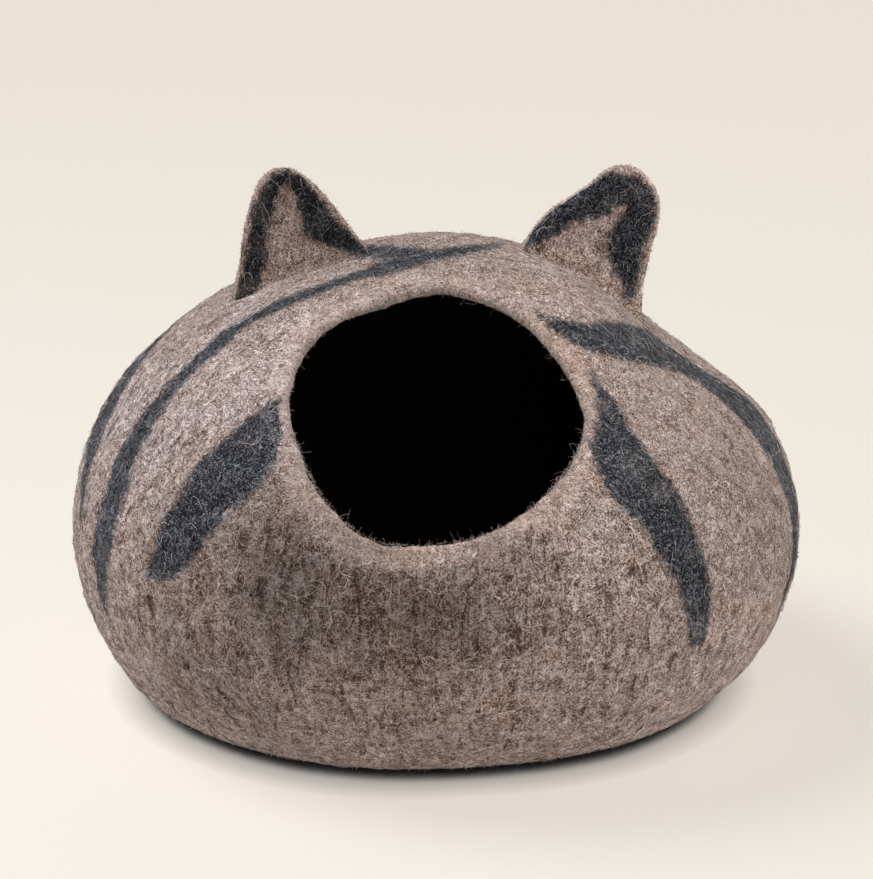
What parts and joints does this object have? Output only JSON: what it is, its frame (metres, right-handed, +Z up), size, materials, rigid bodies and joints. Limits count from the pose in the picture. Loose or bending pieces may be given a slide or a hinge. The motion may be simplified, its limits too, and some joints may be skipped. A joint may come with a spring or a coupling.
{
  "type": "felt cat cave",
  "caption": "Hollow felted-wool cat cave with a flat base, a slanted round opening in its upper front and cat-ear tabs on top.",
  "frame": {"origin": "centre of the flat base, on the surface that the cave stands on", "axes": "+Z up; -Y is the front, where the opening faces; +X is the right-hand side seen from the front"},
  "size_m": [0.4525, 0.4367, 0.3285],
  "materials": {
    "felt_taupe": "matte heathered wool felt with short loose fibres and charcoal stripes worked in",
    "felt_ears": "matte heathered wool felt with short loose fibres and a charcoal band inside its edge"
  },
  "bodies": {
    "root": {"shell": "felt_taupe", "ear_left": "felt_ears", "ear_right": "felt_ears"}
  },
  "joints": []
}
